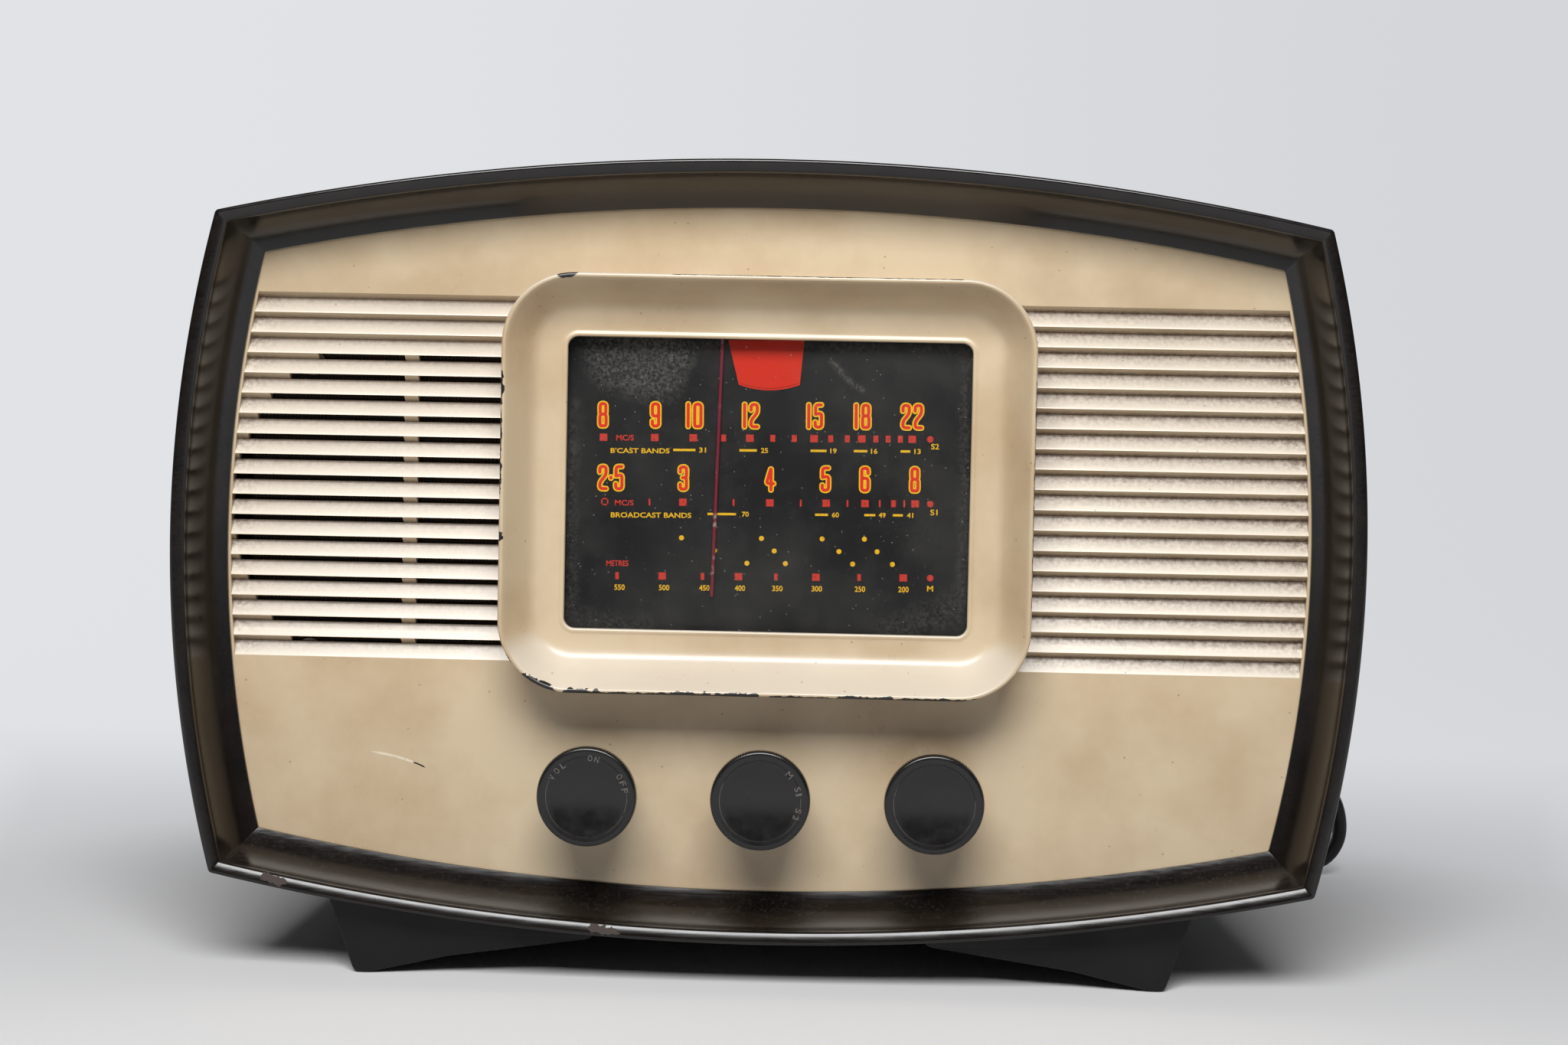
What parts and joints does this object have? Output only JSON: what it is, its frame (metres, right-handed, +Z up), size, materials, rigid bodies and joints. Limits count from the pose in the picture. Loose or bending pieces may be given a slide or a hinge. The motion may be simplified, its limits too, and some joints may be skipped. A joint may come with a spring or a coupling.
{
  "type": "table radio",
  "caption": "Bakelite table radio with bowed cabinet, louvred cream front, slide-rule dial, ribbed knobs, wedge feet and mains cord.",
  "frame": {"origin": "on the floor under the middle of the cabinet, cord and plug left out", "axes": "+Z up, +X to the right seen from the front, +Y into the set; the front faces -Y"},
  "size_m": [0.4125, 0.302, 0.2559],
  "materials": {
    "bakelite": "polished, worn",
    "foot_black": "matte",
    "cream_paint": "aged satin paint over black",
    "glass": "clear, dusty",
    "dial_print": "black with red and yellow print",
    "pointer_red": "flaking dark red",
    "knob_black": "satin, worn",
    "zinc": "dull plated",
    "steel": "bright drawn",
    "dull_steel": "grey passivated",
    "brass": "dull",
    "aluminium": "satin",
    "dark_iron": "varnished laminations",
    "cloth": "woven",
    "board": "raw board",
    "paper": "pressed paper",
    "valve_glass": "clear with grey getter",
    "paxolin": "laminated",
    "fibre": "pressed fibre board",
    "rubber": "soft black",
    "cord_black": "black rubber",
    "plug_brown": "moulded"
  },
  "bodies": {
    "radio": {"cabinet": "bakelite", "foot_left": "foot_black", "foot_right": "foot_black", "foot_screws": "zinc", "front_panel": "cream_paint", "panel_screws": "zinc", "dial_surround": "cream_paint", "dial_glass": "glass", "dial_plate": "dial_print", "dial_bracket": "dull_steel", "pointer_rail": "steel", "drive_cord": "cloth", "gang_frame": "dull_steel", "gang_stators": "aluminium", "volume_control": "dull_steel", "waveband_switch": "paxolin", "tuning_bush": "brass", "control_nuts": "brass", "speaker_cloth": "cloth", "speaker_baffle": "board", "speaker_frame": "dull_steel", "speaker_magnet": "dark_iron", "speaker_screws": "zinc", "output_transformer": "dark_iron", "chassis": "dull_steel", "chassis_bolts": "zinc", "mains_transformer": "dark_iron", "smoothing_capacitor": "aluminium", "if_cans": "aluminium", "signal_valves": "valve_glass", "valve_output": "valve_glass", "valve_rectifier": "valve_glass", "valve_sockets": "paxolin", "coil_pack": "paxolin", "wiring_parts": "paxolin", "dial_lamps": "brass", "socket_strip": "paxolin", "back_cover": "fibre", "back_cover_screws": "zinc", "cord_grommet": "rubber", "mains_cord": "cord_black", "cord_coil": "cord_black", "plug_body": "plug_brown", "plug_pins": "brass"},
    "volume": {"knob_volume": "knob_black", "grub_screw_volume": "zinc", "volume_spindle": "steel"},
    "waveband": {"knob_waveband": "knob_black", "grub_screw_waveband": "zinc", "waveband_spindle": "steel"},
    "tuning": {"knob_tuning": "knob_black", "grub_screw_tuning": "zinc", "tuning_spindle": "steel"},
    "tuning_gang": {"gang_rotor": "aluminium", "drive_drum": "aluminium", "drum_spring": "steel"},
    "dial_pointer": {"pointer": "pointer_red"},
    "left_pulley": {"pulley_left": "brass"},
    "right_pulley": {"pulley_right": "brass"},
    "cone": {"speaker_cone": "paper"}
  },
  "joints": [
    {"name": "volume_knob", "type": "hinge", "parent": "radio", "child": "volume", "pos_m": [-0.0534, 0, 0.0595], "axis": [0, 1, 0], "range_deg": [-80, 220]},
    {"name": "waveband_knob", "type": "hinge", "parent": "radio", "child": "waveband", "pos_m": [0, 0, 0.0595], "axis": [0, 1, 0], "range_deg": [-30, 30]},
    {"name": "tuning_knob", "type": "hinge", "parent": "radio", "child": "tuning", "pos_m": [0.0534, 0, 0.0595], "axis": [0, 1, 0], "range_deg": [-563, 1030]},
    {"name": "gang_turn", "type": "hinge", "parent": "radio", "child": "tuning_gang", "pos_m": [0.022, 0, 0.127], "axis": [0, 1, 0], "range_deg": [-63.5, 116.4]},
    {"name": "pointer_slide", "type": "slide", "parent": "radio", "child": "dial_pointer", "axis": [1, 0, 0], "range_m": [-0.036, 0.066]},
    {"name": "left_pulley_turn", "type": "hinge", "parent": "radio", "child": "left_pulley", "pos_m": [-0.065, 0, 0.20505], "axis": [0, 1, 0], "range_deg": [-376, 689]},
    {"name": "right_pulley_turn", "type": "hinge", "parent": "radio", "child": "right_pulley", "pos_m": [0.065, 0, 0.20505], "axis": [0, 1, 0], "range_deg": [-376, 689]},
    {"name": "cone_travel", "type": "slide", "parent": "radio", "child": "cone", "axis": [0, 1, 0], "range_m": [-0.0008, 0.0008], "stiffness_N_per_m": 1500}
  ],
  "couplings": [
    {"joint": "tuning_knob", "follows": "gang_turn", "ratio": 8.8347},
    {"joint": "pointer_slide", "follows": "gang_turn", "m_per_rad": 0.032468},
    {"joint": "left_pulley_turn", "follows": "gang_turn", "ratio": 5.9032},
    {"joint": "right_pulley_turn", "follows": "gang_turn", "ratio": 5.9032}
  ]
}
